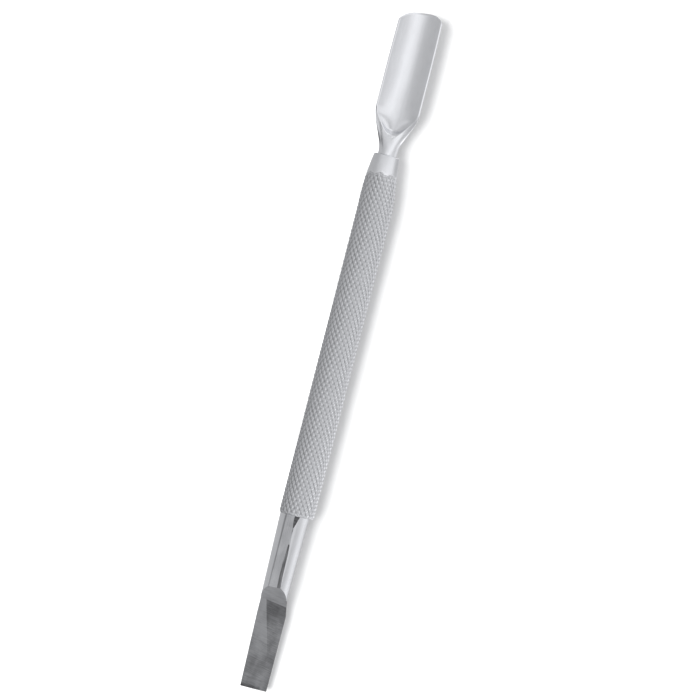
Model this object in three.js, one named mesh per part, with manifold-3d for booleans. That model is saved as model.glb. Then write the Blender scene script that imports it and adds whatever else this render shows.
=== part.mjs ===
// Double-ended cuticle pusher: a knurled steel grip with a hollow spoon pusher
// pressed into one end and a flat ground scraper pressed into the other.
//
// Millimetres. The tool lies on its side along Y with the spoon at +Y and its hollow
// facing +Z. The origin is on the resting surface, midway between the two tips.

import * as THREE from 'three';
import { mergeVertices } from 'three/addons/utils/BufferGeometryUtils.js';
import Module from 'manifold-3d';

const wasm = await Module();
wasm.setup();

// ---- driving dimensions ----

const LENGTH = 130;
const GRIP_DIAMETER = 6.7;
const AXIS_HEIGHT = GRIP_DIAMETER / 2;

// Stations are distances along the tool from the scraper's tip.
const BLADE_ROOT = 14.5;
const RAMP_FOOT = 16.65;
const RAMP_TOP = 19.85;
const GRIP_START = 33.4;
const NOSE_LEAN_START = 92;
const NOSE_START = 93.5;
const KNURL_END = 98.7;
const NOSE_END = 101.6;
const NOSE_TURN_IN = 102.32;
const GRIP_END = 102.5;

const NOSE_TIP_DIAMETER = 5.0;
const NOSE_OGIVE_POWER = 1.4;
const NOSE_DROP = 0.2;
const NOSE_RIM_WIDTH = 0.1;
// The nose and the spoon's neck are a little off the grip's axis.
const NOSE_OFFSET = -0.3;
const EDGE_BREAK = 0.3;

const SPOON_NECK_DIAMETER = 3.5;
const SPOON_WIDTH = 8.34;
const SPOON_TIP_WIDTH = 8;
const SPOON_FLARE_START = 102.7;
const SPOON_FLARE_END = 111.3;
const SPOON_CROWN_END = 109.3;
const SPOON_RIM = 0.5;
const SPOON_RIM_CROWN = 0.25;
const SPOON_WALL = 0.75;
const SPOON_RIM_HEIGHT = 4.7;
const SPOON_FLOOR_HEIGHT = 2.9;
const SPOON_OFFSET = -0.42;
const SPOON_LEAN_LENGTH = 4;
const SPOON_NARROWING_START = 118;
const SPOON_TIP_BULGE = 1.75;
const SPOON_TIP_POWER = 3.4;
const TIP_OVERHANG = 1.15;
const SPOON_TIP_SLANT = THREE.MathUtils.degToRad(7.5);
const HOLLOW_START = 105.7;
const HOLLOW_START_CLEARANCE = 0.2;
const HOLLOW_START_WIDTH = 0.4;
const HOLLOW_WALL_FOOT = 107.3;
const HOLLOW_WALL_FOOT_HEIGHT = 3.6;
const HOLLOW_OPEN = 110;
const HOLLOW_FULL = 117;
const HOLLOW_OPENING_POWER = 0.65;

// The shank and the blade are a little off the grip's axis, as a bent-in blade leaves them.
const SHANK_OFFSET = -0.27;
const SHANK_TOP_DIAMETER = 5.6;
const SHANK_END_DIAMETER = 4.9;
const SHANK_RUN_OUT = 12.5;
const SHANK_RUN_OUT_DIAMETER = 3.7;
const BLADE_ROOT_TOP = 2.85;
const BLADE_TIP_TOP = 2.0;
const RAMP_SKEW = THREE.MathUtils.degToRad(8.4);

// The blade's blank: station, left and right edges, and height of its back. It runs out
// inside the shank.
const BLANK = [
  [0, -2.33, 2.67, 1.45],
  [BLADE_ROOT, -2.67, 2.76, 1.05],
  [18.7, -2.66, 2.0, 1.5],
  [22, -2.1, 1.3, 2.2],
];

// The flute down the shank: station, place across of its crisp edge, and width of the steep
// wall below that edge. Its tilted floor runs out at FLUTE_LEFT.
const FLUTE = [
  [16, 0.3, 0.6],
  [19.8, 0.48, 0.68],
  [22, 0.32, 0.62],
  [24, 0.29, 0.6],
  [26, 0.27, 0.46],
  [28, 0.13, 0.26],
  [31.1, 0.07, 0.1],
  [31.9, 0.3, 0.52],
  [32.6, 0.5, 0.75],
  [33.6, 0.78, 1.0],
];
const FLUTE_LEFT = -1.72;
const FLUTE_TILT = THREE.MathUtils.degToRad(6);

// The bevel: station, place across of its inner edge, and tilt in degrees.
const BEVEL = [
  [3, 1.3, 0],
  [9, 0.3, 5],
  [12.9, -0.5, 10],
  [17, -1.6, 20],
];
const BEVEL_REACH = 6;
const BEVEL_CLEARANCE = 1;

const TANG_LENGTH = 11;
const TANG_OVERLAP = 1;
const TANG_DIAMETER = 4.5;
const FIT_GAP = 0.15;
const JOINT_GAP = 0.3;
const BORE_OVERRUN = 1;
const CUT_OVERRUN = 1;
const CUT_CLEARANCE = 3;

// An even count of facets, turned so that one lies flat on the surface.
const GRIP_SIDES = 16;
const ROUND_SIDES = 32;
const NOSE_STEPS = 4;
const FLARE_STEPS = 12;
const PLAIN_STEPS = 7;
const PLAIN_STEP = 2;
const HOLLOW_WALL_STEPS = 5;
const HOLLOW_FLOOR_STEPS = 9;
const TIP_STEPS = 24;

// ---- helpers ----

const alongTool = (station) => station - LENGTH / 2;
const faceSlope = (BLADE_ROOT_TOP - BLADE_TIP_TOP) / RAMP_FOOT;

// A solid of revolution about the tool's axis, whose facets touch the true circle from
// outside. The profile holds [radius, station] pairs from axis to axis.
function turnedSolid(profile, sides, aroundTrueCircle) {
  const grow = aroundTrueCircle ? 1 / Math.cos(Math.PI / sides) : 1;
  const points = profile.map(([radius, station]) => new THREE.Vector2(radius * grow, alongTool(station)));
  const geometry = new THREE.LatheGeometry(points, sides, Math.PI / sides);
  geometry.translate(0, 0, AXIS_HEIGHT);
  return geometry;
}

// A closed skin over rings of equal count, capped with a fan at each end.
function loftedSolid(rings) {
  const count = rings[0].length;
  const positions = rings.flat().flatMap((point) => point.toArray());
  const indices = [];
  for (let ring = 0; ring < rings.length - 1; ring += 1) {
    for (let i = 0; i < count; i += 1) {
      const a = ring * count + i;
      const b = ring * count + ((i + 1) % count);
      indices.push(a, a + count, b, b, a + count, b + count);
    }
  }
  const last = (rings.length - 1) * count;
  for (let i = 1; i < count - 1; i += 1) {
    indices.push(0, i, i + 1);
    indices.push(last, last + i + 1, last + i);
  }
  const geometry = new THREE.BufferGeometry();
  geometry.setAttribute('position', new THREE.Float32BufferAttribute(positions, 3));
  geometry.setIndex(indices);
  return geometry;
}

function toSolid(geometry) {
  const bare = geometry.clone();
  bare.deleteAttribute('normal');
  bare.deleteAttribute('uv');
  const merged = mergeVertices(bare, 1e-4);
  const solid = new wasm.Manifold(new wasm.Mesh({
    numProp: 3,
    vertProperties: new Float32Array(merged.attributes.position.array),
    triVerts: new Uint32Array(merged.index.array),
  }));
  return solid;
}

function toGeometry(solid) {
  const mesh = solid.getMesh();
  const geometry = new THREE.BufferGeometry();
  geometry.setAttribute('position', new THREE.Float32BufferAttribute(mesh.vertProperties, 3));
  geometry.setIndex(Array.from(mesh.triVerts));
  return geometry;
}

const smooth = (value, from, to) => THREE.MathUtils.smoothstep(value, from, to);
const mix = THREE.MathUtils.lerp;

function stationsBetween(from, to, steps) {
  return Array.from({ length: steps + 1 }, (_, i) => mix(from, to, i / steps));
}

// ---- grip ----

// The grip's round, drawn in along a gentle ogive to the nose.
function gripRadius(station) {
  const inwards = Math.max(0, (station - NOSE_START) / (NOSE_END - NOSE_START));
  return mix(GRIP_DIAMETER, NOSE_TIP_DIAMETER, inwards ** NOSE_OGIVE_POWER) / 2;
}

const gripCentre = (station) => NOSE_OFFSET * smooth(station, NOSE_LEAN_START, KNURL_END);

// A blind bore that opens past the end of the grip.
function boreSolid(diameter, opening, bottom, centre) {
  const bore = turnedSolid([
    [0, Math.min(opening, bottom)],
    [diameter / 2 + FIT_GAP, Math.min(opening, bottom)],
    [diameter / 2 + FIT_GAP, Math.max(opening, bottom)],
    [0, Math.max(opening, bottom)],
  ], GRIP_SIDES, true);
  bore.translate(centre, 0, 0);
  return toSolid(bore);
}

function gripGeometry() {
  const boreDepth = TANG_LENGTH + JOINT_GAP;
  const noseTip = NOSE_TIP_DIAMETER / 2;
  const outside = turnedSolid([
    [0, GRIP_START],
    [GRIP_DIAMETER / 2 - EDGE_BREAK, GRIP_START],
    [GRIP_DIAMETER / 2, GRIP_START + EDGE_BREAK],
    [GRIP_DIAMETER / 2, NOSE_LEAN_START],
    ...stationsBetween(NOSE_START, NOSE_END, NOSE_STEPS).map((station) => [gripRadius(station), station]),
    [noseTip - NOSE_DROP, NOSE_TURN_IN],
    [SPOON_NECK_DIAMETER / 2 + FIT_GAP + NOSE_RIM_WIDTH, GRIP_END],
    [0, GRIP_END],
  ], GRIP_SIDES, true);
  const points = outside.attributes.position;
  for (let i = 0; i < points.count; i += 1) {
    points.setX(i, points.getX(i) + gripCentre(points.getY(i) + LENGTH / 2));
  }
  const grip = toSolid(outside)
    .subtract(boreSolid(TANG_DIAMETER, GRIP_START - BORE_OVERRUN, GRIP_START + boreDepth, 0))
    .subtract(boreSolid(SPOON_NECK_DIAMETER, GRIP_END + BORE_OVERRUN, GRIP_END - boreDepth, NOSE_OFFSET));
  return toGeometry(grip);
}

// ---- spoon ----

function spoonCentre(station) {
  const lean = smooth(station, SPOON_FLARE_START, SPOON_FLARE_START + SPOON_LEAN_LENGTH);
  return mix(NOSE_OFFSET, SPOON_OFFSET, lean);
}

function spoonWidth(station) {
  const flared = mix(SPOON_NECK_DIAMETER, SPOON_WIDTH, smooth(station, SPOON_FLARE_START, SPOON_FLARE_END));
  const towardsTip = Math.max(0, (station - SPOON_NARROWING_START) / (LENGTH - SPOON_NARROWING_START));
  return flared - (SPOON_WIDTH - SPOON_TIP_WIDTH) * towardsTip ** 2;
}

// The body before it is hollowed: round at the neck, then a half round with a flat rim.
function spoonRing(station) {
  const flare = smooth(station, SPOON_FLARE_START, SPOON_FLARE_END);
  const neckRadius = SPOON_NECK_DIAMETER / 2;
  const edgeHeight = mix(AXIS_HEIGHT, SPOON_RIM_HEIGHT, flare);
  const backHeight = mix(AXIS_HEIGHT - neckRadius, SPOON_FLOOR_HEIGHT - SPOON_WALL, flare);
  const crown = mix(neckRadius, SPOON_RIM_CROWN, smooth(station, SPOON_FLARE_START, SPOON_CROWN_END));
  const half = spoonWidth(station) / 2;
  return stationsBetween(0, 2 * Math.PI, ROUND_SIDES).slice(0, -1).map((angle) => {
    const rise = Math.sin(angle);
    const height = rise > 0 ? crown * rise : (edgeHeight - backHeight) * rise;
    return new THREE.Vector3(
      spoonCentre(station) + half * Math.cos(angle),
      alongTool(station),
      edgeHeight + height,
    );
  });
}

// The tool that hollows the spoon: a dished trough that comes up out of the neck.
function hollowRing(station) {
  const openRun = Math.min(1, (station - HOLLOW_START) / (HOLLOW_OPEN - HOLLOW_START));
  const opening = (1 - (1 - openRun) ** 2) ** HOLLOW_OPENING_POWER;
  const half = Math.max(HOLLOW_START_WIDTH / 2, (spoonWidth(station) / 2 - SPOON_RIM) * opening);
  const wallTop = AXIS_HEIGHT + SPOON_NECK_DIAMETER / 2 + HOLLOW_START_CLEARANCE;
  const downWall = Math.min(1, (station - HOLLOW_START) / (HOLLOW_WALL_FOOT - HOLLOW_START));
  const shortOfFull = Math.max(0, (HOLLOW_FULL - station) / (HOLLOW_FULL - HOLLOW_WALL_FOOT));
  const floor = downWall < 1
    ? mix(wallTop, HOLLOW_WALL_FOOT_HEIGHT, downWall)
    : mix(SPOON_FLOOR_HEIGHT, HOLLOW_WALL_FOOT_HEIGHT, shortOfFull ** 2);
  const top = SPOON_RIM_HEIGHT + CUT_CLEARANCE;
  const ring = stationsBetween(-1, 1, ROUND_SIDES / 2).map((across) => new THREE.Vector3(
    spoonCentre(station) + half * across,
    alongTool(station),
    mix(floor, SPOON_RIM_HEIGHT, across ** 2),
  ));
  ring.push(new THREE.Vector3(spoonCentre(station) + half, alongTool(station), top));
  ring.push(new THREE.Vector3(spoonCentre(station) - half, alongTool(station), top));
  return ring;
}

// The plan outline that gives the spoon its slightly skewed, bowed tip.
function tipOutlineGeometry() {
  const half = SPOON_WIDTH;
  const outline = new THREE.Shape();
  outline.moveTo(-half, -LENGTH);
  outline.lineTo(half, -LENGTH);
  outline.lineTo(half, -SPOON_WIDTH);
  // The bow's highest point lies off centre because of the slant, and ends the tool.
  const halfTip = SPOON_TIP_WIDTH / 2;
  const slant = Math.tan(SPOON_TIP_SLANT) * halfTip;
  const bow = (across) => slant * across - SPOON_TIP_BULGE * Math.abs(across) ** SPOON_TIP_POWER;
  const peak = bow((slant / (SPOON_TIP_POWER * SPOON_TIP_BULGE)) ** (1 / (SPOON_TIP_POWER - 1)));
  for (const across of stationsBetween(TIP_OVERHANG, -TIP_OVERHANG, TIP_STEPS)) {
    outline.lineTo(across * halfTip, bow(across) - peak);
  }
  outline.lineTo(-half, -SPOON_WIDTH);
  outline.closePath();
  const geometry = new THREE.ExtrudeGeometry(outline, { depth: GRIP_DIAMETER * 2, bevelEnabled: false });
  geometry.translate(spoonCentre(LENGTH), alongTool(LENGTH), -GRIP_DIAMETER / 2);
  return geometry;
}

function spoonGeometry() {
  const body = toSolid(loftedSolid([
    ...stationsBetween(GRIP_END - TANG_LENGTH, GRIP_END, 1),
    ...stationsBetween(SPOON_FLARE_START, SPOON_FLARE_END, FLARE_STEPS),
    ...stationsBetween(SPOON_FLARE_END + PLAIN_STEP, LENGTH + CUT_OVERRUN, PLAIN_STEPS),
  ].map(spoonRing)));
  const hollow = toSolid(loftedSolid([
    ...stationsBetween(HOLLOW_START, HOLLOW_WALL_FOOT, HOLLOW_WALL_STEPS).slice(0, -1),
    ...stationsBetween(HOLLOW_WALL_FOOT, HOLLOW_FULL, HOLLOW_FLOOR_STEPS),
    ...stationsBetween(HOLLOW_FULL + PLAIN_STEP, LENGTH + 2 * CUT_OVERRUN, PLAIN_STEPS - 1),
  ].map(hollowRing)));
  const outline = toSolid(tipOutlineGeometry());
  return toGeometry(body.subtract(hollow).intersect(outline));
}

// ---- scraper ----

// The tapered shank and its tang. Its thin end runs out inside the blade.
function shankGeometry() {
  const shoulder = GRIP_START - JOINT_GAP;
  const blade = turnedSolid([
    [0, SHANK_RUN_OUT],
    [SHANK_RUN_OUT_DIAMETER / 2, SHANK_RUN_OUT],
    [SHANK_END_DIAMETER / 2, RAMP_FOOT],
    [SHANK_TOP_DIAMETER / 2, shoulder],
    [0, shoulder],
  ], ROUND_SIDES, false);
  blade.translate(SHANK_OFFSET, 0, 0);
  const tang = turnedSolid([
    [0, shoulder - TANG_OVERLAP],
    [TANG_DIAMETER / 2, shoulder - TANG_OVERLAP],
    [TANG_DIAMETER / 2, shoulder + TANG_LENGTH],
    [0, shoulder + TANG_LENGTH],
  ], ROUND_SIDES, false);
  return toSolid(blade).add(toSolid(tang));
}

// A ring of the blade's blank: a rectangle from its back up to the axis.
function blankRing([station, left, right, back]) {
  const y = alongTool(station);
  return [
    new THREE.Vector3(right, y, back),
    new THREE.Vector3(right, y, AXIS_HEIGHT),
    new THREE.Vector3(left, y, AXIS_HEIGHT),
    new THREE.Vector3(left, y, back),
  ];
}

// Ground away above the blade: down the skewed ramp, then gently on to the tip.
function faceCutGeometry() {
  const shankTop = AXIS_HEIGHT + SHANK_END_DIAMETER / 2;
  const rampRun = RAMP_TOP - RAMP_FOOT;
  const clearHeight = 2 * shankTop - BLADE_ROOT_TOP;
  return loftedSolid([GRIP_DIAMETER, -GRIP_DIAMETER].map((x) => {
    const skew = -Math.tan(RAMP_SKEW) * x;
    const sideView = [
      [-CUT_OVERRUN, BLADE_TIP_TOP - faceSlope * CUT_OVERRUN],
      [RAMP_FOOT + skew, BLADE_ROOT_TOP + faceSlope * skew],
      [RAMP_FOOT + rampRun * 2 + skew, clearHeight + faceSlope * skew],
      [-CUT_OVERRUN, clearHeight + faceSlope * skew],
    ];
    return sideView.map(([station, height]) => new THREE.Vector3(x, alongTool(station), height));
  }));
}

// The bevel ground along the blade's left edge. It widens and flattens towards the tip.
function bevelRing([station, inner, tilt]) {
  const drop = Math.tan(THREE.MathUtils.degToRad(tilt));
  const y = alongTool(station);
  const height = BLADE_TIP_TOP + faceSlope * station;
  return [
    new THREE.Vector3(inner - BEVEL_REACH, y, height + BEVEL_CLEARANCE),
    new THREE.Vector3(inner - BEVEL_REACH, y, height - BEVEL_REACH * drop),
    new THREE.Vector3(inner, y, height),
    new THREE.Vector3(inner, y, height + BEVEL_CLEARANCE),
  ];
}

// The height of the shank's round above the tool's axis.
function shankSurface(station, x) {
  const run = (station - RAMP_FOOT) / (GRIP_START - RAMP_FOOT);
  const radius = mix(SHANK_END_DIAMETER, SHANK_TOP_DIAMETER, run) / 2;
  return AXIS_HEIGHT + Math.sqrt(radius ** 2 - (x - SHANK_OFFSET) ** 2);
}

// The flute down the shank: a nearly flat floor and a steep wall up to the crisp edge.
function fluteRing([station, edge, wallWidth]) {
  const start = shankSurface(station, FLUTE_LEFT);
  const wall = shankSurface(station, edge);
  const foot = start + (edge - wallWidth - FLUTE_LEFT) * Math.tan(FLUTE_TILT);
  const flare = EDGE_BREAK;
  return [
    [FLUTE_LEFT - flare, start + flare],
    [FLUTE_LEFT, start],
    [edge - wallWidth, foot],
    [edge, wall],
    [edge + flare, wall + flare],
    [edge + flare, wall + CUT_CLEARANCE],
    [FLUTE_LEFT - flare, wall + CUT_CLEARANCE],
  ].map(([x, height]) => new THREE.Vector3(x, alongTool(station), height));
}

function scraperGeometry() {
  const blank = toSolid(loftedSolid(BLANK.map(blankRing)));
  const solid = shankGeometry()
    .add(blank)
    .subtract(toSolid(faceCutGeometry()))
    .subtract(toSolid(loftedSolid(BEVEL.map(bevelRing))))
    .subtract(toSolid(loftedSolid(FLUTE.map(fluteRing))));
  return toGeometry(solid);
}

// ---- assembly ----

const pieces = [
  ['handle_grip', gripGeometry(), { color: 0xb2b4b6, roughness: 0.38 }],
  ['spoon_pusher', spoonGeometry(), { color: 0xd3d5d7, roughness: 0.14 }],
  ['scraper_blade', scraperGeometry(), { color: 0xa9abad, roughness: 0.24 }],
];

const tool = new THREE.Group();
for (const [name, geometry, finish] of pieces) {
  const mesh = new THREE.Mesh(geometry, new THREE.MeshStandardMaterial({ ...finish, metalness: 1 }));
  mesh.name = name;
  tool.add(mesh);
}

export default tool;
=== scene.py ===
# Looks for a double-ended cuticle pusher: a knurled steel grip, a polished hollow spoon
# and a ground scraper. Shapes are worked out in millimetres and written out in metres.

import math

import bmesh
import bpy
import numpy as np
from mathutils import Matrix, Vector


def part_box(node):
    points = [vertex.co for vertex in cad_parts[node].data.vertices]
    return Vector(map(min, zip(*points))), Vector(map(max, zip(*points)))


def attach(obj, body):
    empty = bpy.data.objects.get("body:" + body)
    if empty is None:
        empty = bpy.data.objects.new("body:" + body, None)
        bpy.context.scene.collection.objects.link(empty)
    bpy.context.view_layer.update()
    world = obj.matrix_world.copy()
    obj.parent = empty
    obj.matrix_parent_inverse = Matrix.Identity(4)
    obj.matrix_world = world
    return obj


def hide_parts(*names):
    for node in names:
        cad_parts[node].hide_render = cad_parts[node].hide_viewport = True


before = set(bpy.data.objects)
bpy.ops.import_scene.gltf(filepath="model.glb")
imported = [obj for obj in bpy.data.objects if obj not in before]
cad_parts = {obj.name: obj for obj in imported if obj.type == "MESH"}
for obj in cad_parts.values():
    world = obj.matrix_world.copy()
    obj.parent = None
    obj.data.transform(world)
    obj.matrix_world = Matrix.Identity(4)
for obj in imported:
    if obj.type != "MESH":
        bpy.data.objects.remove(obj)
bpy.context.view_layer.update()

MM = 0.001


def box_mm(node):
    low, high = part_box(node)
    return np.array(low) / MM, np.array(high) / MM


# ---- places read from the frame ----

grip_low, grip_high = box_mm("handle_grip")
_, spoon_high = box_mm("spoon_pusher")
scraper_low, _ = box_mm("scraper_blade")

TIP = scraper_low[1]
LENGTH = spoon_high[1] - scraper_low[1]
GRIP_RADIUS = (grip_high[2] - grip_low[2]) / 2
AXIS_HEIGHT = (grip_high[2] + grip_low[2]) / 2
GRIP_START = grip_low[1] - TIP
GRIP_END = grip_high[1] - TIP

# ---- driving dimensions, in mm; a station is a distance from the scraper's tip ----

KNURL_STARTS = 21
KNURL_PITCH = 1.46
KNURL_DEPTH = 0.17
KNURL_CELLS = 4
KNURL_END = 98.7
KNURL_RAGGED_REACH = 2.0
KNURL_WANDER = 0.045
KNURL_WEAR = 0.16
KNURL_RAGGEDNESS = 0.35
KNURL_RAGGED_START = 0.4
KNURL_RAGGED_END = 2.2
KNURL_FADE = 0.4
KNURL_LONG_FADE = 0.8
GROOVE_HALF_WIDTH = 0.46
CROSSING_SHARE_OF_DEPTH = 0.15
CROSSING_SHARE_OF_SHADE = 0.5
NOSE_START = 93.5
NOSE_POWER = 1.4
NOSE_TIP_RADIUS = 2.45
NOSE_ROUND = 0.25
NOSE_OFFSET = -0.3
NOSE_SHIFT_START = 92.0
LIP_LENGTH = 0.5
LIP_DROP = 0.28
END_FACE_MARGIN = 0.05

NECK_RADIUS = 1.75
SPOON_HALF = 4.17
SPOON_TIP_HALF = 4.0
SPOON_FLARE_START = 102.7
SPOON_FLARE_END = 111.3
SPOON_RIM_HEIGHT = 4.7
SPOON_FLOOR_HEIGHT = 2.9
SPOON_WALL = 0.75
SPOON_RIM = 0.38
SPOON_RIM_CROWN = 0.22
SPOON_OFFSET = -0.42
SPOON_SHIFT_LENGTH = 4.0
SPOON_CROWN_END = 109.3
SPOON_RING_STEP = 0.11
TIP_NARROWING_START = 118.0
TIP_RINGS_START = 119.0
TIP_BULGE = 1.75
TIP_POWER = 3.4
TIP_SLANT = math.tan(math.radians(7.5))
TIP_EDGE_DROP = 0.16
TIP_EDGE_START = 0.972
HOLLOW_START = 105.7
HOLLOW_OPEN = 110.0
HOLLOW_OPENING_POWER = 0.65
HOLLOW_LEAST_OPENING = 0.1
HOLLOW_FULL = 117.0
HOLLOW_WALL_FOOT = 107.3
HOLLOW_WALL_FOOT_HEIGHT = 3.6
HOLLOW_FOOT_BLEND = 0.08
HOLLOW_RIM_BLEND = 0.1
HOLLOW_OUTER_SLOPE = 0.9

BORE_GAP = 0.12
BORE_END_GAP = 0.3
BORE_CHAMFER = 0.1
BORE_MOUTH = 0.06
TANG_LENGTH = 11.0
TANG_RADIUS = 2.25
TANG_END_SQUEEZE = 0.93


# ---- helpers ----

def smoothstep(value, low, high):
    t = np.clip((value - low) / (high - low), 0, 1)
    return t * t * (3 - 2 * t)


def mix(a, b, t):
    return a + (b - a) * t


def smooth_min(a, b, width):
    h = np.clip(0.5 + 0.5 * (b - a) / width, 0, 1)
    return mix(b, a, h) - width * h * (1 - h)


def station_noise(seed, count, *coordinates):
    """A smooth, repeatable wobble in -1..1 made of a few waves."""
    rng = np.random.default_rng(seed)
    total = 0
    for _ in range(count):
        phase = rng.uniform(0, 2 * math.pi)
        total = total + np.sin(sum(rng.uniform(-1, 1) * c for c in coordinates) + phase)
    return total / count


def make_object(name, points, faces, smooth=True):
    mesh = bpy.data.meshes.new(name)
    mesh.from_pydata([tuple(p) for p in np.asarray(points) * MM], [], faces)
    mesh.validate()
    mesh.update()
    mesh.polygons.foreach_set("use_smooth", [smooth] * len(mesh.polygons))
    obj = bpy.data.objects.new(name, mesh)
    bpy.context.scene.collection.objects.link(obj)
    return obj


def skin(rings):
    """Points and faces of a closed skin over an array of rings [ring, point, xyz]."""
    count, around = rings.shape[:2]
    points = list(rings.reshape(-1, 3))
    faces = []
    for ring in range(count - 1):
        for i in range(around):
            a = ring * around + i
            b = ring * around + (i + 1) % around
            faces.append((a, a + around, b + around, b))
    for ring, flip in ((0, False), (count - 1, True)):
        points.append(rings[ring].mean(axis=0))
        centre = len(points) - 1
        for i in range(around):
            a = ring * around + i
            b = ring * around + (i + 1) % around
            faces.append((centre, b, a) if flip else (centre, a, b))
    return np.array(points), faces


def outward(obj):
    work = bmesh.new()
    work.from_mesh(obj.data)
    bmesh.ops.recalc_face_normals(work, faces=work.faces)
    if work.calc_volume(signed=True) < 0:
        bmesh.ops.reverse_faces(work, faces=work.faces)
    work.to_mesh(obj.data)
    work.free()
    return obj


# ---- grip ----

def grip_radius(station):
    """The grip's round, drawn in along a gentle ogive to the nose."""
    inwards = np.clip((station - NOSE_START) / (GRIP_END - NOSE_ROUND - NOSE_START), 0, 1)
    return mix(GRIP_RADIUS, NOSE_TIP_RADIUS, inwards ** NOSE_POWER)


def grip_centre(station):
    """The nose is drawn in a little off the grip's axis."""
    return NOSE_OFFSET * smoothstep(station, NOSE_SHIFT_START, KNURL_END)


def knurl(angle, station):
    """How deep the knurl has cut, from 0 on the crests to 1 in the grooves, how near a crossing
    of two grooves is, and how much knurl there is: it starts and stops raggedly."""
    wander = KNURL_WANDER * station_noise(3, 7, 3 * angle, 0.7 * station)
    turns = KNURL_STARTS * angle / (2 * math.pi)
    along = (station - GRIP_START) / KNURL_PITCH
    one, other = (
        1 - np.minimum(np.abs(family - np.round(family)) / GROOVE_HALF_WIDTH, 1)
        for family in (turns + along + wander, turns - along + 0.7 * wander)
    )
    ragged = KNURL_RAGGEDNESS * station_noise(5, 9, 9 * angle, 2.5 * station)
    begun = smoothstep(station + KNURL_RAGGED_START * ragged, GRIP_START, GRIP_START + KNURL_FADE)
    frayed = station + KNURL_RAGGED_END * ragged
    ended = smoothstep(frayed, KNURL_END - KNURL_LONG_FADE, KNURL_END + KNURL_FADE)
    worn = 1 + KNURL_WEAR * station_noise(11, 12, 5 * angle, 1.9 * station)
    return np.maximum(one, other) * worn, one * other, begun * (1 - ended)


def build_grip():
    around = KNURL_STARTS * 2 * KNURL_CELLS
    step = KNURL_PITCH / (2 * KNURL_CELLS)
    angles = np.arange(around) * 2 * math.pi / around
    upper_bore = NECK_RADIUS + BORE_GAP
    lower_bore = TANG_RADIUS + BORE_GAP
    plain = [
        (lower_bore, GRIP_START + TANG_LENGTH + BORE_END_GAP),
        (lower_bore, GRIP_START + BORE_CHAMFER),
        (lower_bore + BORE_CHAMFER, GRIP_START),
        (GRIP_RADIUS - LIP_DROP - END_FACE_MARGIN, GRIP_START),
    ]
    outer = np.concatenate([
        GRIP_START + LIP_LENGTH * (1 - np.cos(np.linspace(0.25, 1.2, 5))),
        np.arange(GRIP_START + LIP_LENGTH, GRIP_END - NOSE_ROUND - END_FACE_MARGIN, step),
    ])
    nose_drop = NOSE_TIP_RADIUS - upper_bore - END_FACE_MARGIN
    nose = [
        (NOSE_TIP_RADIUS - nose_drop * (1 - math.cos(t)), GRIP_END - NOSE_ROUND * (1 - math.sin(t)))
        for t in np.linspace(0, math.pi / 2, 9)
    ] + [
        (upper_bore, GRIP_END - BORE_MOUTH),
        (upper_bore, GRIP_END - TANG_LENGTH - BORE_END_GAP),
    ]
    radii, stations, centres, shades = [], [], [], []

    def ring(radius, station, centre, shade=0.0):
        radii.append(radius * np.ones(around))
        stations.append(station)
        centres.append(centre)
        shades.append(shade * np.ones(around))

    for radius, station in plain:
        ring(radius, station, 0.0)
    for station in outer:
        groove, crossing, strength = knurl(angles, station)
        to_lip = np.clip((GRIP_START + LIP_LENGTH - station) / LIP_LENGTH, 0, 1)
        lip = LIP_DROP * (1 - math.sqrt(1 - to_lip ** 2))
        # shade is painted shade for the knurl's colour: darker in the grooves, and darker still where two
        # grooves cross.
        depth, shade = (
            (1 - share) * groove + share * crossing
            for share in (CROSSING_SHARE_OF_DEPTH, CROSSING_SHARE_OF_SHADE)
        )
        radius = grip_radius(station) - lip - KNURL_DEPTH * depth * strength
        ring(radius, station, grip_centre(station), shade * strength)
    for radius, station in nose:
        ring(radius, station, NOSE_OFFSET)
    radii = np.array(radii)
    stations, centres = (np.array(values)[:, None] * np.ones(around) for values in (stations, centres))
    rings = np.stack([
        centres + radii * np.cos(angles),
        TIP + stations,
        AXIS_HEIGHT + radii * np.sin(angles),
    ], axis=-1)
    points, faces = skin(rings)
    obj = make_object("knurled_grip", points, faces)
    # The painted groove shade is stored on the points for the knurled material to read.
    point_shades = np.concatenate([np.array(shades).ravel(), np.zeros(2)])
    attribute = obj.data.attributes.new("knurl_groove_shade", "FLOAT", "POINT")
    attribute.data.foreach_set("value", point_shades.astype(np.float32))
    return outward(obj)


# ---- spoon ----

def spoon_half(station):
    """Half the width: the neck flaring out to the rims, a little narrower again at the tip."""
    flared = mix(NECK_RADIUS, SPOON_HALF, smoothstep(station, SPOON_FLARE_START, SPOON_FLARE_END))
    towards_tip = np.clip((station - TIP_NARROWING_START) / (LENGTH - TIP_NARROWING_START), 0, 1)
    return flared - (SPOON_HALF - SPOON_TIP_HALF) * towards_tip ** 2


def spoon_centre(station):
    """The spoon sits a little further off the grip's axis than the nose."""
    shifted = smoothstep(station, SPOON_FLARE_START, SPOON_FLARE_START + SPOON_SHIFT_LENGTH)
    return mix(NOSE_OFFSET, SPOON_OFFSET, shifted)


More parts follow.
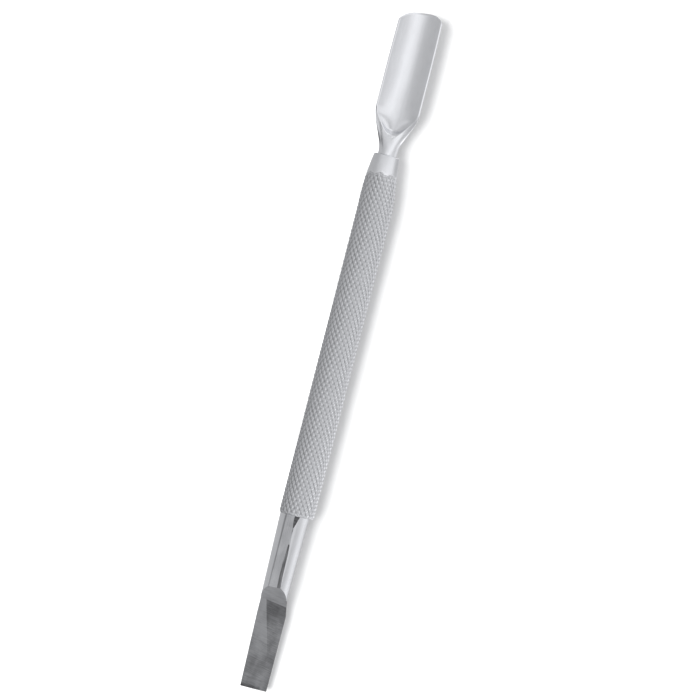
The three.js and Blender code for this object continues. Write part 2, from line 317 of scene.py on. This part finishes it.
def spoon_top(across, station):
    """Height of the upper surface: the neck's crown sinking to the rim, hollowed by the trough.
    across runs from -1 to 1 over the width."""
    half = spoon_half(station)
    flare = smoothstep(station, SPOON_FLARE_START, SPOON_FLARE_END)
    flattened = smoothstep(station, SPOON_FLARE_START, SPOON_CROWN_END)
    crown = mix(NECK_RADIUS, SPOON_RIM_CROWN, flattened)
    edge = mix(AXIS_HEIGHT, SPOON_RIM_HEIGHT, flare)
    arch = np.sqrt(np.clip(1 - across ** 2, 0, 1))
    solid = edge + crown * arch
    open_run = np.clip((station - HOLLOW_START) / (HOLLOW_OPEN - HOLLOW_START), 0, 1)
    opening = (1 - (1 - open_run) ** 2) ** HOLLOW_OPENING_POWER
    opening = np.maximum(opening, HOLLOW_LEAST_OPENING)
    short_of_full = np.clip((HOLLOW_FULL - station) / (HOLLOW_FULL - HOLLOW_WALL_FOOT), 0, 2)
    floor = SPOON_FLOOR_HEIGHT + (HOLLOW_WALL_FOOT_HEIGHT - SPOON_FLOOR_HEIGHT) * short_of_full ** 2
    wall_top = AXIS_HEIGHT + NECK_RADIUS + HOLLOW_RIM_BLEND
    wall_slope = (wall_top - HOLLOW_WALL_FOOT_HEIGHT) / (HOLLOW_WALL_FOOT - HOLLOW_START)
    wall = wall_top - wall_slope * (station - HOLLOW_START)
    floor = -smooth_min(-floor, -wall, HOLLOW_FOOT_BLEND)
    side = across * half / ((half - SPOON_RIM) * opening)
    hollow = floor + (SPOON_RIM_HEIGHT - floor) * side ** 2
    beyond = SPOON_RIM_HEIGHT + HOLLOW_OUTER_SLOPE * (np.abs(side) - 1) * half
    hollow = np.where(np.abs(side) > 1, np.maximum(hollow, beyond), hollow)
    hollow = np.where(station < HOLLOW_START, solid + 1, hollow)
    return smooth_min(solid, hollow, HOLLOW_RIM_BLEND)


def spoon_back(across, station):
    """Height of the underside, a half round from edge to edge."""
    flare = smoothstep(station, SPOON_FLARE_START, SPOON_FLARE_END)
    edge = mix(AXIS_HEIGHT, SPOON_RIM_HEIGHT, flare)
    bottom = mix(AXIS_HEIGHT - NECK_RADIUS, SPOON_FLOOR_HEIGHT - SPOON_WALL, flare)
    return edge - (edge - bottom) * np.sqrt(np.clip(1 - across ** 2, 0, 1))


def tip_station(x):
    """The spoon's bowed and slightly skewed front edge, seen from above."""
    def bow(across):
        return TIP_SLANT * SPOON_TIP_HALF * across - TIP_BULGE * np.abs(across) ** TIP_POWER

    peak = bow((TIP_SLANT * SPOON_TIP_HALF / (TIP_POWER * TIP_BULGE)) ** (1 / (TIP_POWER - 1)))
    return LENGTH + bow(x / SPOON_TIP_HALF) - peak


def build_spoon():
    half_count = 120
    across = np.cos(np.linspace(0, math.pi, half_count + 1))
    tang_start = GRIP_END - TANG_LENGTH
    stations = np.concatenate([
        [tang_start, tang_start + 0.2],
        np.linspace(tang_start + 0.4, GRIP_END - 0.4, 12),
        np.arange(GRIP_END - 0.3, TIP_RINGS_START, SPOON_RING_STEP),
    ])
    rings = []

    def ring(station, drop=0.0, squeeze=1.0):
        x = spoon_centre(station) + spoon_half(station) * squeeze * across
        top = np.stack([x, TIP + station, spoon_top(across, station) - drop], axis=-1)
        back = np.stack([x, TIP + station, spoon_back(across, station)], axis=-1)[::-1]
        rings.append(np.concatenate([top[:-1], back[:-1]]))

    for i, station in enumerate(stations):
        ring(np.full(half_count + 1, station), squeeze=TANG_END_SQUEEZE if i == 0 else 1.0)
    tip_stations = tip_station(SPOON_TIP_HALF * across)
    steps = np.concatenate([np.linspace(0, 1, 95)[1:-3], 1 - np.array([0.024, 0.016, 0.008, 0.0])])
    for t in steps:
        drop = TIP_EDGE_DROP * smoothstep(t, TIP_EDGE_START, 1.0)
        ring(mix(TIP_RINGS_START, tip_stations, t), drop)
    rings = np.array(rings)
    points, faces = skin(rings)
    # The tip is a thin crescent, so its cap joins the upper edge to the back edge.
    around = rings.shape[1]
    tip_centre = len(points) - 1
    faces = [f for f in faces if tip_centre not in f]
    points = points[:-1]
    last = (len(rings) - 1) * around
    for i in range(half_count):
        corners = [i, i + 1, around - i - 1, (around - i) % around]
        faces.append(tuple(last + c for c in dict.fromkeys(corners)))
    return outward(make_object("spoon_end", points, faces))


# ---- scraper ----

BLADE_ROOT = 14.5
RAMP_FOOT = 16.65
RAMP_TOP = 19.85
SHANK_OFFSET = -0.27
SHANK_END_RADIUS = 2.45
SHANK_TOP_RADIUS = 2.8
BLADE_ROOT_TOP = 2.85
BLADE_TIP_TOP = 2.0
BLADE_ROOT_BACK = 1.05
BLADE_TIP_BACK = 1.45
FACE_SLOPE = (BLADE_ROOT_TOP - BLADE_TIP_TOP) / RAMP_FOOT
RAMP_SKEW = math.tan(math.radians(8.4))
SHARP_ANGLE = math.radians(22)

# The blank of the blade: station, left side, right side and height of the back.
BLANK = [
    (0, -2.33, 2.67, BLADE_TIP_BACK),
    (BLADE_ROOT, -2.67, 2.76, BLADE_ROOT_BACK),
    (18.7, -2.66, 2.0, 1.5),
    (22, -2.1, 1.3, 2.2),
]

# The flute down the shank: station, place across of the crisp edge, and width of the steep
# wall below that edge. Its tilted floor runs out at FLUTE_LEFT.
FLUTE = [
    (16, 0.3, 0.6), (19.8, 0.48, 0.68), (22, 0.32, 0.62), (24, 0.29, 0.6), (26, 0.27, 0.46),
    (28, 0.13, 0.26), (31.1, 0.07, 0.1), (31.9, 0.3, 0.52), (32.6, 0.5, 0.75), (33.6, 0.78, 1.0),
]
FLUTE_LEFT = -1.72
FLUTE_TILT = math.tan(math.radians(6))
FLUTE_STEP = 0.4
FLUTE_LEFT_FLARE = 0.25
FLUTE_RIGHT_FLARE = 0.4
# NOTCH_START and WALL_SHADE_END bound the painted shade on the flute's end and on its wall.
NOTCH_START = 31.1
WALL_SHADE_END = 28.0
CUT_CLEARANCE = 3.0
ROUND = 160

# The bevel: station, place across of its inner edge, and tilt in degrees.
BEVEL = [(3, 1.3, 0.0), (9, 0.3, 5), (12.9, -0.5, 10), (17, -1.6, 20)]
BEVEL_REACH = 6.0
BEVEL_STEPS = 15


def turned(name, profile, offset=0.0):
    """A solid of revolution from (radius, station) pairs, closed at both ends."""
    angles = (np.arange(ROUND) + 0.5) * 2 * math.pi / ROUND
    rings = np.array([
        np.stack([
            offset + radius * np.cos(angles),
            np.full(ROUND, TIP + station),
            AXIS_HEIGHT + radius * np.sin(angles),
        ], axis=-1)
        for radius, station in profile
    ])
    return outward(make_object(name, *skin(rings)))


def prism(name, *outlines):
    """A solid through outlines with the same number of corners."""
    count = len(outlines[0])
    points = [point for outline in outlines for point in outline]
    last = count * (len(outlines) - 1)
    faces = [tuple(range(count)), tuple(range(last + count - 1, last - 1, -1))]
    for start in range(0, last, count):
        for i in range(count):
            a, b = start + i, start + (i + 1) % count
            faces += [(a, b, b + count), (a, b + count, a + count)]
    return outward(make_object(name, points, faces, smooth=False))


def cut(target, tool, operation="DIFFERENCE"):
    """Applies a boolean to target and deletes the tool."""
    modifier = target.modifiers.new("cut", "BOOLEAN")
    modifier.operation = operation
    modifier.solver = "MANIFOLD"
    modifier.object = tool
    apply_modifiers(target)
    bpy.data.objects.remove(tool)


def apply_modifiers(obj):
    bpy.context.view_layer.update()
    graph = bpy.context.evaluated_depsgraph_get()
    mesh = bpy.data.meshes.new_from_object(obj.evaluated_get(graph))
    obj.modifiers.clear()
    obj.data = mesh


def blank_outline(station, left, right, back):
    """One outline across the blade's blank, from its back up to the axis."""
    y = TIP + station
    return [(right, y, back), (right, y, AXIS_HEIGHT), (left, y, AXIS_HEIGHT), (left, y, back)]


def face_cutter():
    """All that is above the blade's ground face and the slanted ramp."""
    top = AXIS_HEIGHT + SHANK_END_RADIUS
    clear = 2 * top - BLADE_ROOT_TOP
    run = RAMP_TOP - RAMP_FOOT
    sides = []
    for x in (-7, 7):
        skew = -RAMP_SKEW * x
        side_view = [
            (-1, BLADE_TIP_TOP - FACE_SLOPE),
            (RAMP_FOOT + skew, BLADE_ROOT_TOP + FACE_SLOPE * skew),
            (RAMP_FOOT + 2 * run + skew, clear + FACE_SLOPE * skew),
            (-1, clear + FACE_SLOPE * skew),
        ]
        sides.append([(x, TIP + station, height) for station, height in side_view])
    return prism("face_cutter", *sides)


def bevel_cutter():
    given = np.array(BEVEL)
    outlines = []
    for station in np.linspace(given[0, 0], given[-1, 0], BEVEL_STEPS):
        inner, tilt = (np.interp(station, given[:, 0], given[:, column]) for column in (1, 2))
        y = TIP + station
        height = BLADE_TIP_TOP + FACE_SLOPE * station
        outlines.append([
            (inner - BEVEL_REACH, y, height + 1),
            (inner - BEVEL_REACH, y, height - BEVEL_REACH * math.tan(math.radians(tilt))),
            (inner, y, height),
            (inner, y, height + 1),
        ])
    return prism("bevel_cutter", *outlines)


def flute_wall(station):
    """The place of the flute's crisp edge and the width of the wall below it."""
    given = np.array(FLUTE)
    return (np.interp(station, given[:, 0], given[:, column]) for column in (1, 2))


def shank_surface(station, x):
    """Height of the tapered round of the shank."""
    run = (station - RAMP_FOOT) / (GRIP_START - RAMP_FOOT)
    radius = mix(SHANK_END_RADIUS, SHANK_TOP_RADIUS, run)
    return AXIS_HEIGHT + math.sqrt(radius ** 2 - (x - SHANK_OFFSET) ** 2)


def flute_cutter():
    outlines = []
    for station in np.arange(FLUTE[0][0], FLUTE[-1][0] + 0.01, FLUTE_STEP):
        edge, width = flute_wall(station)
        y = TIP + station
        start = shank_surface(station, FLUTE_LEFT)
        wall = shank_surface(station, edge)
        foot = start + (edge - width - FLUTE_LEFT) * FLUTE_TILT
        outlines.append([
            (FLUTE_LEFT - FLUTE_LEFT_FLARE, y, start + FLUTE_LEFT_FLARE),
            (FLUTE_LEFT, y, start),
            (edge - width, y, foot),
            (edge, y, wall),
            (edge + FLUTE_RIGHT_FLARE, y, wall + FLUTE_RIGHT_FLARE),
            (edge + FLUTE_RIGHT_FLARE, y, wall + CUT_CLEARANCE),
            (FLUTE_LEFT - FLUTE_LEFT_FLARE, y, wall + CUT_CLEARANCE),
        ])
    return prism("flute_cutter", *outlines)


def build_scraper():
    obj = turned("scraper_end", [
        (SHANK_END_RADIUS - 0.6, BLADE_ROOT - 2),
        (SHANK_END_RADIUS, RAMP_FOOT),
        (SHANK_TOP_RADIUS, GRIP_START - 0.02),
    ], SHANK_OFFSET)
    tang = turned("tang", [
        (TANG_RADIUS, GRIP_START - 1),
        (TANG_RADIUS, GRIP_START + TANG_LENGTH),
    ])
    blank = prism("blank", *(blank_outline(*row) for row in BLANK))
    cut(obj, tang, "UNION")
    cut(obj, blank, "UNION")
    cut(obj, face_cutter())
    cut(obj, bevel_cutter())
    cut(obj, flute_cutter())
    obj.data.set_sharp_from_angle(angle=SHARP_ANGLE)
    return outward(obj)


# ---- materials ----

class Graph:
    """A material's node tree, with short ways to add and join nodes."""

    def __init__(self, name):
        self.material = bpy.data.materials.new(name)
        self.material.use_nodes = True
        self.tree = self.material.node_tree
        self.shader = self.tree.nodes["Principled BSDF"]

    def node(self, kind, **settings):
        made = self.tree.nodes.new(kind)
        for key, value in settings.items():
            setattr(made, key, value)
        return made

    def join(self, out, into):
        self.tree.links.new(out, into)

    def place(self, scale, turn=0.0):
        """The point on the object in millimetres, turned about Z and then stretched by scale."""
        vector = self.node("ShaderNodeTexCoord").outputs["Object"]
        for kind, value in (("Rotation", (0, 0, math.radians(turn))), ("Scale", [s / MM for s in scale])):
            mapping = self.node("ShaderNodeMapping")
            mapping.inputs[kind].default_value = value
            self.join(vector, mapping.inputs["Vector"])
            vector = mapping.outputs["Vector"]
        return vector

    def noise(self, scale, detail=3.0, roughness=0.55, distortion=0.0, turn=0.0):
        made = self.node("ShaderNodeTexNoise")
        made.inputs["Scale"].default_value = 1.0
        made.inputs["Detail"].default_value = detail
        made.inputs["Roughness"].default_value = roughness
        made.inputs["Distortion"].default_value = distortion
        self.join(self.place(scale, turn), made.inputs["Vector"])
        return made.outputs["Fac"]

    def across_and_station(self):
        """The place across the tool and the distance from the scraper's tip, in millimetres."""
        split = self.node("ShaderNodeSeparateXYZ")
        self.join(self.place((1, 1, 1)), split.inputs["Vector"])
        return split.outputs["X"], self.math("SUBTRACT", split.outputs["Y"], float(TIP))

    def span(self, value, low, high, from_low=0.3, from_high=0.7):
        made = self.node("ShaderNodeMapRange")
        made.inputs["From Min"].default_value = from_low
        made.inputs["From Max"].default_value = from_high
        made.inputs["To Min"].default_value = low
        made.inputs["To Max"].default_value = high
        self.join(value, made.inputs["Value"])
        return made.outputs["Result"]

    def ramp(self, value, stops):
        made = self.node("ShaderNodeValToRGB")
        elements = made.color_ramp.elements
        while len(elements) < len(stops):
            elements.new(0.5)
        for element, (position, colour) in zip(elements, stops):
            element.position = position
            element.color = (*colour, 1)
        self.join(value, made.inputs["Fac"])
        return made.outputs["Color"]

    def math(self, operation, a, b):
        made = self.node("ShaderNodeMath", operation=operation)
        for socket, value in zip(made.inputs, (a, b)):
            if isinstance(value, (int, float)):
                socket.default_value = value
            else:
                self.join(value, socket)
        return made.outputs["Value"]

    def bump(self, height, strength, distance_mm):
        made = self.node("ShaderNodeBump")
        made.inputs["Strength"].default_value = strength
        made.inputs["Distance"].default_value = distance_mm * MM
        self.join(height, made.inputs["Height"])
        return made.outputs["Normal"]

    def finish(self, colour, roughness, normal):
        self.shader.inputs["Metallic"].default_value = 1.0
        self.join(colour, self.shader.inputs["Base Color"])
        self.join(roughness, self.shader.inputs["Roughness"])
        self.join(normal, self.shader.inputs["Normal"])
        return self.material


def grey(value):
    return (value, value * 1.008, value * 1.04)


def polished_steel():
    graph = Graph("polished_steel")
    lines = graph.noise((9, 0.35, 9), detail=4)
    haze = graph.noise((0.5, 0.3, 0.5), detail=2)
    both = graph.math("MULTIPLY", graph.math("ADD", lines, haze), 0.5)
    colour = graph.ramp(both, [(0.3, grey(0.68)), (0.7, grey(0.76))])
    return graph.finish(colour, graph.span(both, 0.14, 0.22), graph.bump(lines, 0.4, 0.01))


def knurled_steel():
    graph = Graph("knurled_steel")
    # Painted shade: the attribute read here darkens the grooves and their crossings, standing in for the
    # shade that falls in them.
    groove = graph.node("ShaderNodeAttribute", attribute_name="knurl_groove_shade").outputs["Fac"]
    grain = graph.noise((6, 6, 6), detail=4)
    patches = graph.noise((0.35, 0.2, 0.35), detail=2)
    mottle = graph.math("ADD", graph.math("MULTIPLY", grain, 0.12), graph.math("MULTIPLY", patches, 0.12))
    shade = graph.math("ADD", groove, graph.math("SUBTRACT", mottle, 0.12))
    colour = graph.ramp(shade, [(0.0, grey(0.5)), (0.3, grey(0.63)), (0.6, grey(0.5)), (0.85, grey(0.28))])
    worn = graph.math("ADD", graph.math("MULTIPLY", groove, 0.4), graph.math("MULTIPLY", grain, 0.6))
    return graph.finish(colour, graph.span(worn, 0.18, 0.36, 0.1, 0.8), graph.bump(grain, 0.25, 0.02))


def ground_steel():
    """Steel ground across, with its marks slanted like the ramp. The bevel along the left is a cut
    facet given a painted highlight, and painted shade makes the face darkest right below the ramp
    and on the honed edge at the tip."""
    graph = Graph("ground_steel")
    marks = graph.noise((0.4, 6, 0.4), detail=5, roughness=0.65, distortion=0.3, turn=12)
    broad = graph.noise((0.5, 0.25, 0.5), detail=2)
    shade = graph.math("ADD", graph.math("MULTIPLY", marks, 0.55), graph.math("MULTIPLY", broad, 0.45))
    across, station = graph.across_and_station()
    # Painted shade: the face darkens towards the ramp's foot, as if in the ramp's shade.
    root = graph.span(station, 0.0, 0.16, RAMP_FOOT - 5, RAMP_FOOT - 0.5)
    edge = graph.math("ADD", across, graph.math("MULTIPLY", station, 0.27))
    # Painted highlight: the bevel along the left is lightened in the colour.
    bevel_highlight = graph.span(edge, 0.2, 0.0, 2.93, 3.05)
    bevel_highlight = graph.math("MULTIPLY", bevel_highlight, graph.span(station, 0.0, 1.0, 5, 13))
    # Painted shade: a dark strip along the tip stands in for the dark look of the honed edge's facet.
    honed_edge_shade = graph.span(station, 0.24, 0.0, 0.3, 0.8)
    honed_edge_shade = graph.math("MULTIPLY", honed_edge_shade, graph.span(across, 1.0, 0.0, 1.0, 1.6))
    root = graph.math("MULTIPLY", root, graph.span(edge, 0.0, 1.0, 2.93, 3.05))
    shade = graph.math("SUBTRACT", graph.math("ADD", shade, bevel_highlight), graph.math("ADD", root, honed_edge_shade))
    colour = graph.ramp(shade, [(0.2, grey(0.1)), (0.36, grey(0.17)), (0.5, grey(0.24)), (0.7, grey(0.38))])
    return graph.finish(colour, graph.span(marks, 0.3, 0.46), graph.bump(marks, 0.3, 0.02))


def ramp_steel():
    graph = Graph("ramp_steel")
    marks = graph.noise((0.5, 3, 3), detail=4)
    colour = graph.ramp(marks, [(0.35, grey(0.36)), (0.65, grey(0.45))])
    return graph.finish(colour, graph.span(marks, 0.34, 0.46), graph.bump(marks, 0.2, 0.02))


def flute_wall_shade():
    """Painted shade: the flute's steep wall is coloured dark, standing in for the dark reflection it shows.
    """
    graph = Graph("flute_wall_shade")
    marks = graph.noise((3, 0.4, 3), detail=4)
    colour = graph.ramp(marks, [(0.35, grey(0.17)), (0.65, grey(0.29))])
    return graph.finish(colour, graph.span(marks, 0.3, 0.42), graph.bump(marks, 0.2, 0.02))


def recess_painted_shade():
    """Painted shade: the deep end of the flute, under the grip, is coloured nearly black for the shade in
    that recess.
    """
    graph = Graph("recess_painted_shade")
    patches = graph.noise((2, 2, 2), detail=4)
    colour = graph.ramp(patches, [(0.35, grey(0.07)), (0.65, grey(0.2))])
    return graph.finish(colour, graph.span(patches, 0.4, 0.6), graph.bump(patches, 0.3, 0.03))


# ---- stage: floor, light and camera ----

VIEW_ROLL = math.radians(14.36)
VIEW_CENTRE = (2.01, 0.72)
VIEW_HEIGHT = 500.0
VIEW_WIDTH = 130.3
SENSOR_WIDTH = 36
FLOOR_HALF = 3000
FLOOR_HEIGHT = -0.02

# The lamp over the table, in metres and watts.
LAMP_DIAMETER = 0.6
LAMP_DISTANCE = 0.7
LAMP_POWER = 8.3
LAMP_ELEVATION = math.radians(56)

# How bright the room is around the tool, against the sideways angle from straight up in
# degrees: towards the spoon, level with the tool and towards the scraper, and then further
# towards either end, where the knurl's facets, and beyond them the ends' own slopes, face.
ROOM_SPOONWARDS = [
    (-180, 0.55), (-112, 0.58), (-67, 0.58), (-40, 0.68), (-20, 0.82), (-5, 1.0), (10, 1.12),
    (30, 1.22), (55, 1.18), (74, 1.06), (90, 0.8), (112, 0.62), (180, 0.55),
]
ROOM_LEVEL = [
    (-180, 0.6), (-112, 0.62), (-80, 0.63), (-54, 0.66), (-40, 0.71), (-24, 0.92), (-11, 1.1),
    (0, 1.2), (16, 1.24), (32, 1.2), (44, 1.03), (54, 0.88), (64, 0.8), (80, 0.81), (112, 1.05),
    (180, 0.7),
]
ROOM_SCRAPERWARDS = [
    (-180, 0.6), (-84, 0.6), (-74, 0.2), (-58, 0.2), (-48, 0.4), (-16, 0.38), (4, 0.7),
    (29, 0.82), (43, 0.64), (62, 0.76), (79, 0.98), (97, 1.1), (120, 0.98), (150, 0.6),
    (180, 0.6),
]
ROOM_SLANTED = [
    (-180, 0.15), (-137, 0.15), (-117, 0.18), (-98, 0.3), (-76, 0.55), (-50, 0.9), (-32, 0.9),
    (-14, 0.76), (12, 0.62), (34, 0.6), (57, 0.74), (73, 0.86), (98, 1.5), (117, 2.0),
    (137, 2.0), (160, 1.6), (180, 0.6),
]
ROOM_ENDS = [
    (-180, 0.6), (-90, 0.6), (-40, 0.66), (-16, 0.8), (5, 1.0), (30, 1.15), (62, 1.15),
    (90, 1.0), (180, 0.6),
]
ROOM_FULL = 2.0
ROOM_TINT = (0.985, 0.99, 1.0, 1)


def build_stage():
    corners = [
        (x * FLOOR_HALF, y * FLOOR_HALF, FLOOR_HEIGHT)
        for x, y in ((-1, -1), (1, -1), (1, 1), (-1, 1))
    ]
    floor = make_object("floor", corners, [(0, 1, 2, 3)], smooth=False)
    graph = Graph("white_table")
    grain = graph.noise((0.3, 0.3, 0.3), detail=3)
    graph.shader.inputs["Roughness"].default_value = 0.9
    graph.shader.inputs["Specular IOR Level"].default_value = 0.0
    colour = graph.ramp(grain, [(0.3, (0.79, 0.79, 0.79)), (0.7, (0.81, 0.81, 0.81))])
    graph.join(colour, graph.shader.inputs["Base Color"])
    floor.data.materials.append(graph.material)
    floor.visible_glossy = False


def build_world():
    world = bpy.data.worlds.new("studio")
    bpy.context.scene.world = world
    world.use_nodes = True
    tree = world.node_tree
    background = tree.nodes["Background"]

    def math_node(operation, a, b=0.0, c=0.0):
        made = tree.nodes.new("ShaderNodeMath")
        made.operation = operation
        for socket, value in zip(made.inputs, (a, b, c)):
            if isinstance(value, (int, float)):
                socket.default_value = value
            else:
                tree.links.new(value, socket)
        return made.outputs[0]

    where = tree.nodes.new("ShaderNodeTexCoord")
    split = tree.nodes.new("ShaderNodeSeparateXYZ")
    tree.links.new(where.outputs["Generated"], split.inputs[0])
    x, y, z = split.outputs

    def smooth(value, low, high):
        made = tree.nodes.new("ShaderNodeMapRange")
        made.interpolation_type = "SMOOTHSTEP"
        made.inputs["From Min"].default_value = low
        made.inputs["From Max"].default_value = high
        tree.links.new(value, made.inputs["Value"])
        return made.outputs["Result"]

    def ring(stops):
        made = tree.nodes.new("ShaderNodeValToRGB")
        made.color_ramp.interpolation = "EASE"
        elements = made.color_ramp.elements
        while len(elements) < len(stops):
            elements.new(0.5)
        for element, (degrees, value) in zip(elements, stops):
            element.position = degrees / 360 + 0.5
            element.color = (value / ROOM_FULL, value / ROOM_FULL, value / ROOM_FULL, 1)
        tree.links.new(turn, made.inputs["Fac"])
        return made.outputs["Color"]

    def blend(fac, a, b):
        kept = math_node("MULTIPLY", a, math_node("SUBTRACT", 1.0, fac))
        return math_node("ADD", kept, math_node("MULTIPLY", b, fac))

    turn = math_node("MULTIPLY_ADD", math_node("ARCTAN2", x, z), 0.5 / math.pi, 0.5)
    room = blend(smooth(y, 0.06, 0.2), ring(ROOM_LEVEL), ring(ROOM_SPOONWARDS))
    room = blend(smooth(y, 0.0, -0.06), room, ring(ROOM_SCRAPERWARDS))
    slanted = math_node("ADD", smooth(y, 0.3, 0.4), smooth(y, -0.15, -0.25))
    room = blend(slanted, room, ring(ROOM_SLANTED))
    room = blend(smooth(math_node("ABSOLUTE", y), 0.42, 0.5), room, ring(ROOM_ENDS))
    tree.links.new(math_node("MULTIPLY", room, ROOM_FULL), background.inputs["Strength"])
    background.inputs["Color"].default_value = ROOM_TINT


def build_light():
    light = bpy.data.lights.new("table_light", "AREA")
    light.shape = "DISK"
    light.size = LAMP_DIAMETER
    light.energy = LAMP_POWER
    obj = bpy.data.objects.new("table_light", light)
    side = Vector((-math.cos(VIEW_ROLL), -math.sin(VIEW_ROLL), 0))
    direction = side * math.cos(LAMP_ELEVATION) + Vector((0, 0, math.sin(LAMP_ELEVATION)))
    obj.location = direction * LAMP_DISTANCE
    obj.rotation_euler = direction.to_track_quat("Z", "Y").to_euler()
    obj.visible_glossy = False
    bpy.context.scene.collection.objects.link(obj)


def build_camera():
    data = bpy.data.cameras.new("camera")
    data.sensor_width = SENSOR_WIDTH
    data.lens = SENSOR_WIDTH * (VIEW_HEIGHT - AXIS_HEIGHT) / VIEW_WIDTH
    data.clip_end = 10
    camera = bpy.data.objects.new("camera", data)
    camera.location = Vector((*VIEW_CENTRE, VIEW_HEIGHT)) * MM
    camera.rotation_euler = (0, 0, VIEW_ROLL)
    bpy.context.scene.collection.objects.link(camera)
    bpy.context.scene.camera = camera


# ---- assembly ----

build_camera()
build_stage()
build_world()
build_light()
bpy.context.scene.view_settings.view_transform = "Standard"

polished = polished_steel()
grip_materials = [knurled_steel(), polished]
GRIP_CUT, GRIP_PLAIN = range(2)
scraper_materials = [polished, ground_steel(), ramp_steel(), recess_painted_shade(), flute_wall_shade()]
BLADE, RAMP, NOTCH_SHADE, WALL_SHADE = range(1, 5)

grip = build_grip()
for material in grip_materials:
    grip.data.materials.append(material)
for face in grip.data.polygons:
    x, y, z = face.center / MM
    station = y - TIP
    cut_into = GRIP_START < station < KNURL_END + KNURL_RAGGED_REACH
    if cut_into and station > KNURL_END - KNURL_RAGGED_REACH:
        angle = math.atan2(z - AXIS_HEIGHT, x - grip_centre(station))
        cut_into = knurl(angle, station)[2] > 0.25
    face.material_index = GRIP_CUT if cut_into else GRIP_PLAIN
    face.use_smooth = not cut_into

spoon = build_spoon()
spoon.data.materials.append(polished)

scraper = build_scraper()
scraper.data.materials.clear()
for material in scraper_materials:
    scraper.data.materials.append(material)
for face in scraper.data.polygons:
    station = face.center.y / MM - TIP
    face.use_smooth = True
    if station < RAMP_TOP + 0.5 and face.normal.y < -0.4:
        face.material_index = RAMP
    elif station < RAMP_FOOT + 0.5 and face.normal.z > 0.85:
        face.material_index = BLADE
    # The flute's steep wall, and the end of the flute under the grip, get materials with painted shade.
    elif station < WALL_SHADE_END or NOTCH_START < station < GRIP_START:
        edge, width = flute_wall(station)
        if edge - width < face.center.x / MM < edge:
            face.material_index = WALL_SHADE if station < WALL_SHADE_END else NOTCH_SHADE

for piece, node, slot in (
    (grip, "handle_grip", "knurled_steel"),
    (spoon, "spoon_pusher", "polished_steel"),
    (scraper, "scraper_blade", "ground_steel"),
):
    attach(piece, "root")
    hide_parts(node)
